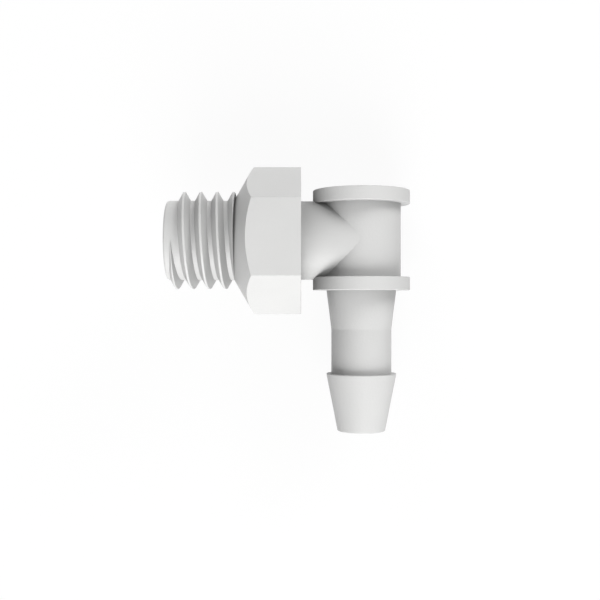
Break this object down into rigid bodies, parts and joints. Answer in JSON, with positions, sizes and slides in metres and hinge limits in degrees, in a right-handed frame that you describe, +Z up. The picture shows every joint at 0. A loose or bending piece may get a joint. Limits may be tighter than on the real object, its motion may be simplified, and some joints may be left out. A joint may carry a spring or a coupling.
{
  "type": "elbow tube fitting",
  "caption": "Right-angle moulded fitting: a male thread with a hexagon at one end, turning in a round body into a neck with a hose barb for soft tubing.",
  "frame": {"origin": "under the middle of the fitting's box, at the height of the surface that it lies on", "axes": "+Z up from that surface; +Y along the barbed leg, away from its tip; the threaded leg points along -X and rises 13.2 degrees, because the fitting rests on its hexagon's lower edge and on the rims of its two discs. The two legs' axes cross at (0.0045667, 0.0035885, 0.00298)"},
  "size_m": [0.015, 0.0162, 0.0084],
  "materials": {
    "nylon": "moulded white nylon with a satin surface"
  },
  "bodies": {
    "root": {"elbow_fitting": "nylon"}
  },
  "joints": []
}
